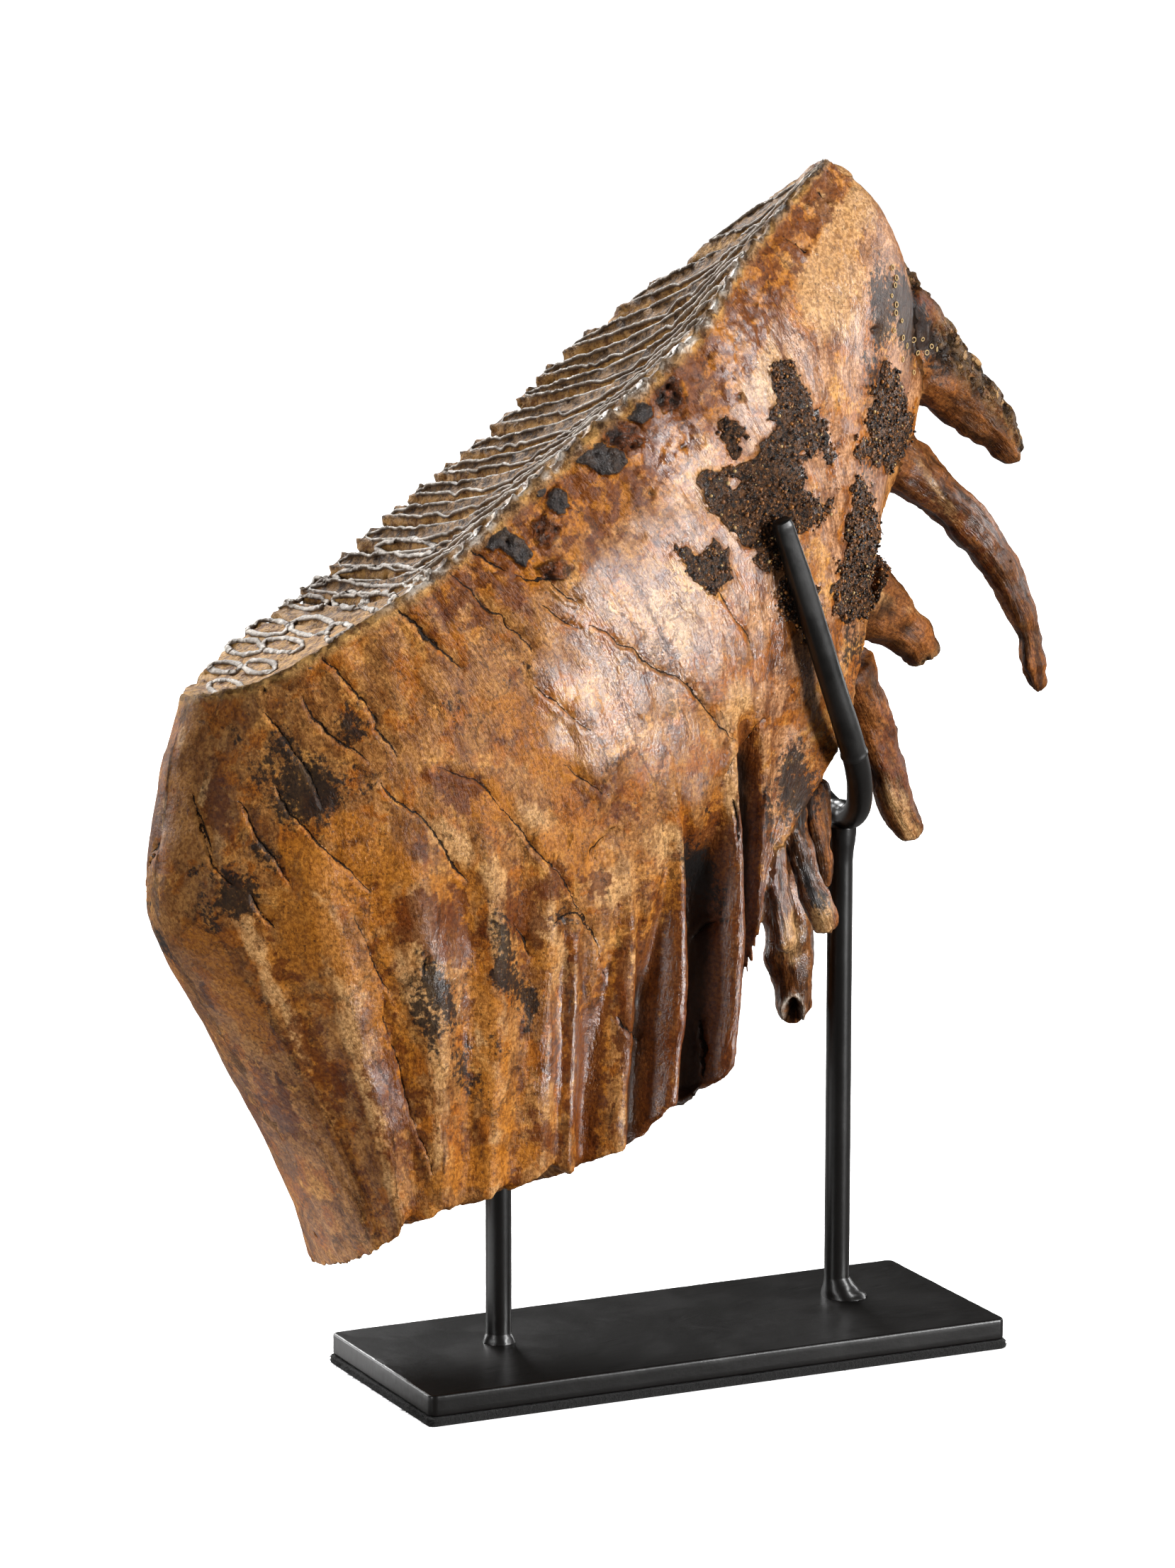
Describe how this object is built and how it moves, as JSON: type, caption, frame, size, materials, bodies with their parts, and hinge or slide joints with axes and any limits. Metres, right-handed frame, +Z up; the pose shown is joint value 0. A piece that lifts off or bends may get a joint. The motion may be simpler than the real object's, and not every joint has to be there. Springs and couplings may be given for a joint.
{
  "type": "fossil mammoth tooth on a stand",
  "caption": "Fossil mammoth molar with long broken roots, standing tilted on a welded black steel stand with a padded cradle.",
  "frame": {"origin": "middle of the felt pad's underside, on the surface that the stand rests on", "axes": "+Z up; +X along the base plate's long side, towards the tooth's long roots; +Y from the tooth's near side face to its far side face"},
  "size_m": [0.3023, 0.1036, 0.3701],
  "materials": {
    "fossil": "permineralised tooth, mottled ochre, rust and blue-black, partly glossed by consolidant, sandy crust in places",
    "stand_paint": "satin black paint on steel, slightly uneven, worn grey on the plate's ends",
    "felt": "matted black felt",
    "sleeve": "matt black heat-shrunk tube"
  },
  "bodies": {
    "root": {"tooth": "fossil", "base_plate": "stand_paint", "felt_pad": "felt", "front_post": "stand_paint", "rear_post": "stand_paint", "cradle_rod": "stand_paint", "near_sleeve": "sleeve", "far_sleeve": "sleeve"}
  },
  "joints": []
}
